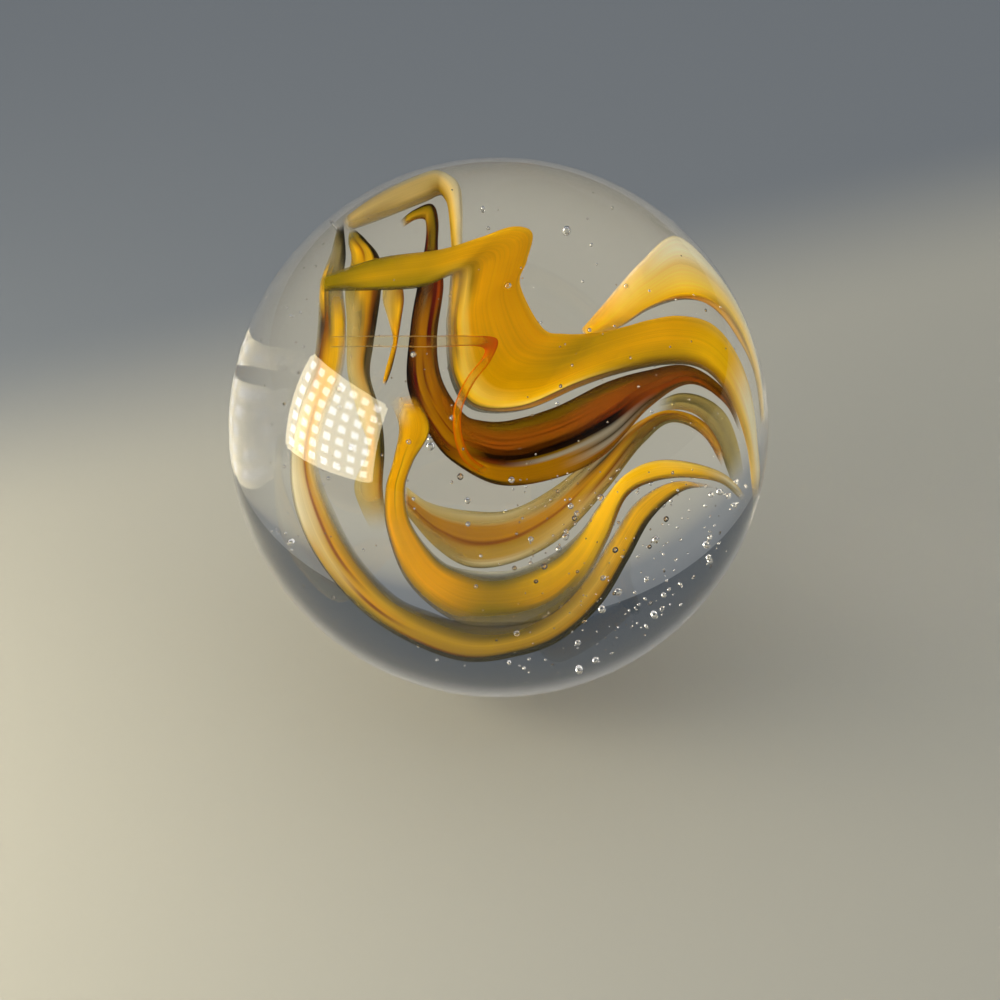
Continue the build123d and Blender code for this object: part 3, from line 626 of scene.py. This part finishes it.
def add_piece(name, points, face_groups, flat=None):
    """A mesh object at the origin, smooth all over, with its own flat map where one is given."""
    mesh = bpy.data.meshes.new(name)
    mesh.from_pydata(points.tolist(), [], [face for group in face_groups for face in group.tolist()])
    mesh.polygons.foreach_set("use_smooth", np.ones(len(mesh.polygons), bool))
    if flat is not None:
        corners = np.empty(len(mesh.loops), np.int32)
        mesh.loops.foreach_get("vertex_index", corners)
        mesh.uv_layers.new(name="ribbon").data.foreach_set("uv", flat[corners].ravel())
    mesh.validate()
    piece = bpy.data.objects.new(name, mesh)
    bpy.context.scene.collection.objects.link(piece)
    return piece


# Shader maths

class Value:
    """One socket of a node tree. Arithmetic on it adds Math nodes to the tree."""

    def __init__(self, finish, socket):
        self.finish, self.socket = finish, socket

    def math(self, operation, *terms):
        """The result of one operation on values or numbers."""
        return self.finish.node("ShaderNodeMath", {"operation": operation}, dict(enumerate(terms)))

    def output(self, name):
        """Another output of the same node."""
        return Value(self.finish, self.socket.node.outputs[name])

    def __add__(self, other):
        return self.math("ADD", self, other)

    def __sub__(self, other):
        return self.math("SUBTRACT", self, other)

    def __rsub__(self, other):
        return self.math("SUBTRACT", other, self)

    def __mul__(self, other):
        return self.math("MULTIPLY", self, other)

    __radd__, __rmul__ = __add__, __mul__


class Finish:
    """A node tree, of a material or of the world, that is filled by one method."""

    def __init__(self, owner):
        owner.use_nodes = True
        self.owner, self.tree = owner, owner.node_tree
        self.tree.nodes.clear()

    def node(self, kind, settings, sockets, out=0):
        """Adds a node, sets its settings first and then its sockets, and gives one of its outputs."""
        made = self.tree.nodes.new(kind)
        for name, setting in settings.items():
            if name == "stops":
                self.fill_ramp(made.color_ramp, setting)
            else:
                setattr(made, name, setting)
        for name, value in sockets.items():
            if isinstance(value, Value):
                self.tree.links.new(value.socket, made.inputs[name])
            else:
                made.inputs[name].default_value = value
        return Value(self, made.outputs[out]) if made.outputs else None

    @staticmethod
    def fill_ramp(ramp, stops):
        """Gives a ramp as many stops as are listed, each with its place and its colour."""
        while len(ramp.elements) < len(stops):
            ramp.elements.new(1)
        for element, (place, colour) in zip(ramp.elements, stops):
            element.position = place
            element.color = colour

    def risen(self, value, start, end):
        """A soft rise from nothing at the start to the whole at the end."""
        settings = {"interpolation_type": "SMOOTHSTEP"}
        return self.node("ShaderNodeMapRange", settings, {0: value, 1: start, 2: end})

    def blend(self, share, colour, other):
        """One colour turned into the other by a share."""
        return self.node("ShaderNodeMix", {"data_type": "RGBA"}, {0: share, 6: colour, 7: other}, 2)

    def noise(self, along, across):
        """Soft noise round zero over a flat map."""
        place = self.node("ShaderNodeCombineXYZ", {}, {0: along, 1: across})
        grain = {"Vector": place, "Scale": 1.0, "Detail": NOISE_DETAIL}
        return self.node("ShaderNodeTexNoise", {}, grain) - NOISE_MIDDLE


# Finishes

def clear_glass():
    """Clear glass with a fire-polished skin."""
    finish = Finish(bpy.data.materials.new("clear_glass"))
    glass = finish.node("ShaderNodeBsdfPrincipled", {}, {
        "Base Color": UNTINTED,
        "Roughness": 0.0,
        "IOR": REFRACTIVE_INDEX,
        "Transmission Weight": 1.0,
    })
    finish.node("ShaderNodeOutputMaterial", {}, {"Surface": glass})
    return finish.owner


def striped(finish, stripe_shares, along, line):
    """The colour and the cover of the stripes, blended from each place along the ribbon to the next."""
    colour = cover = place = None
    for next_place, stripes in stripe_shares:
        stops = [(share, (*glass[:3], covered)) for share, glass, covered in stripes]
        next_colour = finish.node("ShaderNodeValToRGB", {"stops": stops}, {0: line})
        next_cover = next_colour.output("Alpha")
        if place is None:
            colour, cover = next_colour, next_cover
        else:
            share = finish.risen(along, place, next_place)
            colour = finish.blend(share, colour, next_colour)
            cover = cover + (next_cover - cover) * share
        place = next_place
    return colour, cover


def ribbon_glass(name, layer, length):
    """Coloured glass in a ribbon of that length in ball radii: see-through in its tint, with milky stripes
    that wander and streak along it. Both ends melt away into the clear glass."""
    finish = Finish(bpy.data.materials.new(name))
    flat = finish.node("ShaderNodeUVMap", {"uv_map": "ribbon"}, {})
    along = finish.node("ShaderNodeSeparateXYZ", {}, {0: flat})
    across = along.output("Y")
    run = along * length
    line = across + finish.noise(run * WANDER_ALONG, across * WANDER_ACROSS) * WANDER_SHARE
    streak = finish.noise(run * STREAK_ALONG, line * STREAK_ACROSS)
    colour, cover = striped(finish, layer.stripe_shares, along, line + streak * STREAK_SHARE)
    shade = 1 + streak * SHADE_SHARE
    shaded = finish.node("ShaderNodeVectorMath", {"operation": "SCALE"}, {0: colour, "Scale": shade})
    body = finish.node("ShaderNodeBsdfPrincipled", {}, {
        "Base Color": shaded,
        "Roughness": RIBBON_ROUGHNESS,
        "Specular IOR Level": 0.0,
        # The emission is painted light: the ribbon glows in its own colour, as strongly as its layer gives
        "Emission Color": shaded,
        "Emission Strength": layer.painted_glow,
    })
    tinted = finish.node("ShaderNodeBsdfTransparent", {}, {"Color": layer.tint})
    glass = finish.node("ShaderNodeMixShader", {}, {0: cover, 1: tinted, 2: body})
    clear = finish.node("ShaderNodeBsdfTransparent", {}, {"Color": UNTINTED})
    start_melt, end_melt = layer.melt_shares
    solid = finish.risen(along, 0.0, start_melt) * finish.risen(1 - along, 0.0, end_melt)
    melted = finish.node("ShaderNodeMixShader", {}, {0: solid, 1: clear, 2: glass})
    finish.node("ShaderNodeOutputMaterial", {}, {"Surface": melted})
    return finish.owner


# The marble

class Layer(NamedTuple):
    """One ribbon of coloured glass in the ball."""

    row_shares: list
    thickness: float
    stripe_shares: list
    slot: str
    tint: tuple
    melt_shares: tuple = PLAIN_MELT_SHARES
    # How strongly the ribbon glows in its own colour, as painted light
    painted_glow: float = NO_PAINTED_GLOW


LAYERS = {
    "main_yellow_ribbon": Layer(
        MAIN_SHARES, MAIN_THICKNESS, MAIN_STRIPE_SHARES, "yellow_glass", CLEAR_TINT, painted_glow=SOFT_PAINTED_GLOW),
    "rear_yellow_ribbon": Layer(
        REAR_SHARES, REAR_THICKNESS, REAR_STRIPE_SHARES, "pale_yellow_glass", CLEAR_TINT, painted_glow=STRONG_PAINTED_GLOW),
    "amber_ribbon": Layer(
        AMBER_SHARES, AMBER_THICKNESS, AMBER_STRIPE_SHARES, "amber_glass", AMBER_TINT),
    "loop_strand": Layer(
        STRAND_SHARES, STRAND_THICKNESS, STRAND_STRIPE_SHARES, "honey_glass", STRAND_TINT),
    "inner_amber_ribbon": Layer(
        INNER_SHARES, INNER_THICKNESS, INNER_STRIPE_SHARES, "honey_glass", HONEY_TINT),
    "twisted_yellow_ribbon": Layer(
        TWISTED_SHARES, TWISTED_THICKNESS, TWISTED_STRIPE_SHARES, "yellow_glass", CLEAR_TINT,
        TWISTED_MELT_SHARES),
    "base_yellow_ribbon": Layer(
        BASE_SHARES, BASE_THICKNESS, BASE_STRIPE_SHARES, "yellow_glass", CLEAR_TINT),
    "top_loop_ribbon": Layer(
        LOOP_SHARES, LOOP_THICKNESS, LOOP_STRIPE_SHARES, "pale_yellow_glass", CLEAR_TINT, LOOP_MELT_SHARES),
    "left_column_ribbon": Layer(
        COLUMN_SHARES, COLUMN_THICKNESS, COLUMN_STRIPE_SHARES, "honey_glass", HONEY_TINT, COLUMN_MELT_SHARES),
    "column_wedge": Layer(
        WEDGE_SHARES, WEDGE_THICKNESS, WEDGE_STRIPE_SHARES, "honey_glass", HONEY_TINT),
    "right_arc_ribbon": Layer(
        ARC_SHARES, ARC_THICKNESS, ARC_STRIPE_SHARES, "honey_glass", HONEY_TINT, SOFT_MELT_SHARES),
}


def seed_bubbles():
    """Places and radii of the seed bubbles: a thin scatter all over, and a swarm at the lower right."""
    draw = np.random.default_rng(BUBBLE_SEED)
    scatter = draw.uniform(*SCATTER_SHARES, (SCATTERED_BUBBLES, 3))
    swarm = draw.uniform(*SWARM_SHARES, (SWARMING_BUBBLES, 3))
    shares = np.vstack([scatter, swarm])
    shares = shares[np.hypot(shares[:, 0], shares[:, 1]) < BUBBLE_LIMIT_SHARE]
    growth = draw.random(len(shares)) ** GROWTH_POWER
    return seen_at(shares), BALL_RADIUS * (SMALLEST_BUBBLE_SHARE + BUBBLE_GROWTH_SHARE * growth)


def dress(piece, node, finish):
    """Gives a piece its finish, and puts it in the place of a node of the part."""
    piece.data.materials.append(finish)
    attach(piece, "root")
    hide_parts(node)


def add_marble():
    """The clear ball with its bubbles, and the ribbons in it."""
    ball = add_piece("glass_ball", *glass_surface(*seed_bubbles()))
    dress(ball, "clear_body", clear_glass())
    for node, layer in LAYERS.items():
        points, faces, flat, length = ribbon_surface(layer.row_shares, layer.thickness)
        piece = add_piece(node + "_glass", points, faces, flat)
        dress(piece, node, ribbon_glass(node + "_stripes", layer, length))


# Floor, light and camera

def add_floor():
    """A pale floor under the ball, which runs into painted blue-grey shade on its far side, at a slant."""
    corners = FLOOR_REACH * np.array([[-1, -1], [1, -1], [1, 1], [-1, 1]])
    points = np.hstack([corners, np.full((len(corners), 1), -BALL_RADIUS)])
    floor = add_piece("floor", points, [np.array([[0, 1, 2, 3]])])
    finish = Finish(bpy.data.materials.new("floor_paper"))
    place = finish.node("ShaderNodeTexCoord", {}, {}, "Object")
    sideways = finish.node("ShaderNodeSeparateXYZ", {}, {0: place})
    away = sideways.output("Y") - sideways * FAR_SLANT
    # Painted shade: the floor darkens to blue-grey on its far side
    colour = finish.blend(finish.risen(away, FAR_START, FAR_END), FLOOR_COLOUR, FAR_PAINTED_SHADE)
    paper = finish.node("ShaderNodeBsdfPrincipled", {}, {
        "Base Color": colour,
        "Roughness": FLOOR_ROUGHNESS,
        "Specular IOR Level": 0.0,
    })
    finish.node("ShaderNodeOutputMaterial", {}, {"Surface": paper})
    floor.data.materials.append(finish.owner)


def light_room():
    """Soft light from above and in front. It is dim behind the ball, round the eye and where mirrored."""
    finish = Finish(bpy.data.worlds.new("room"))
    direction = finish.node("ShaderNodeTexCoord", {}, {}, "Generated")
    parts = finish.node("ShaderNodeSeparateXYZ", {}, {0: direction})
    behind = finish.risen(parts.output("Y") - parts.output("Z"), DARK_START, DARK_END)
    colour = finish.blend(behind, ROOM_LIGHT, ROOM_DARK)
    facing = finish.node(
        "ShaderNodeVectorMath", {"operation": "DOT_PRODUCT"}, {0: direction, 1: TOWARDS_EYE}, "Value")
    viewer = finish.risen(facing, VIEWER_START, VIEWER_END) * VIEWER_SHADE_SHARE
    glossy = finish.node("ShaderNodeLightPath", {}, {}, "Is Glossy Ray")
    mirrored = glossy * (1 - glossy.output("Is Transmission Ray")) * (1 - REFLECTED_ROOM_SHARE)
    strength = (1 - viewer) * (1 - mirrored)
    background = finish.node("ShaderNodeBackground", {}, {"Color": colour, "Strength": strength})
    finish.node("ShaderNodeOutputWorld", {}, {"Surface": background})
    bpy.context.scene.world = finish.owner


def key_place():
    """Where the soft lamp stands and how it is turned."""
    towards = Vector(KEY_DIRECTION).normalized()
    turned = towards.to_track_quat("Z", "Y").to_matrix().to_4x4()
    return Matrix.Translation(towards * KEY_DISTANCE) @ turned @ Matrix.Rotation(KEY_ROLL, 4, "Z")


def grid_bars():
    """Flat bars in front of the lamp: one four-cornered strip each, evenly spaced both ways."""
    spots = (np.arange(GRID_CELLS + 1) / GRID_CELLS - 0.5)[:, None]
    sides, ends = np.array([[-1, 1, 1, -1], [-1, -1, 1, 1]]) / 2
    bar = GRID_BAR_SHARE / GRID_CELLS
    upright = np.stack(np.broadcast_arrays((spots + sides * bar) * KEY_WIDTH, ends * KEY_HEIGHT), -1)
    level = np.stack(np.broadcast_arrays(sides * KEY_WIDTH, (spots + ends * bar) * KEY_HEIGHT), -1)
    flat = np.concatenate([upright, level]).reshape(-1, 2)
    place = np.array(key_place())
    points = np.hstack([flat, np.full((len(flat), 1), -GRID_STANDOFF)]) @ place[:3, :3].T + place[:3, 3]
    return points, [np.arange(len(flat)).reshape(-1, 4)]


def add_key_lamp():
    """One soft lamp low at the left, with a grid of bars across its front, both out of the picture."""
    lamp = bpy.data.lights.new("key_lamp", "AREA")
    lamp.shape = "RECTANGLE"
    lamp.size, lamp.size_y = KEY_WIDTH, KEY_HEIGHT
    lamp.energy = KEY_RADIANCE * math.pi * KEY_WIDTH * KEY_HEIGHT
    lamp.color = KEY_COLOUR
    key = bpy.data.objects.new("key_lamp", lamp)
    key.matrix_world = key_place()
    bpy.context.scene.collection.objects.link(key)
    bars = add_piece("lamp_grid", *grid_bars())
    finish = Finish(bpy.data.materials.new("lamp_grid_cloth"))
    cloth = finish.node("ShaderNodeEmission", {}, {"Color": GRID_COLOUR, "Strength": GRID_RADIANCE})
    finish.node("ShaderNodeOutputMaterial", {}, {"Surface": cloth})
    bars.data.materials.append(finish.owner)
    key.visible_camera = bars.visible_camera = False


def aim_camera():
    """The camera stands at the eye, turned so that the ball's outline lies where the photograph has it."""
    camera_data = bpy.data.cameras.new("camera")
    focal_pixels = OUTLINE_RADIUS_PIXELS / OUTLINE_SPREAD
    camera_data.sensor_fit = "HORIZONTAL"
    camera_data.lens = camera_data.sensor_width * focal_pixels / FRAME_PIXELS
    camera_data.clip_start = CLIP_START
    camera_data.clip_end = CLIP_END
    camera = bpy.data.objects.new("camera", camera_data)
    bpy.context.scene.collection.objects.link(camera)
    pitch = math.atan((FRAME_PIXELS / 2 - OUTLINE_CENTRE_PIXELS[1]) / focal_pixels)
    yaw = math.atan((FRAME_PIXELS / 2 - OUTLINE_CENTRE_PIXELS[0]) / focal_pixels)
    camera.location = EYE_DISTANCE * Vector(TOWARDS_EYE)
    camera.rotation_euler = (math.pi / 2 - SIGHT_ELEVATION - pitch, 0, -yaw)
    bpy.context.scene.camera = camera


add_marble()
add_floor()
light_room()
add_key_lamp()
aim_camera()
bpy.context.scene.view_settings.view_transform = "Standard"
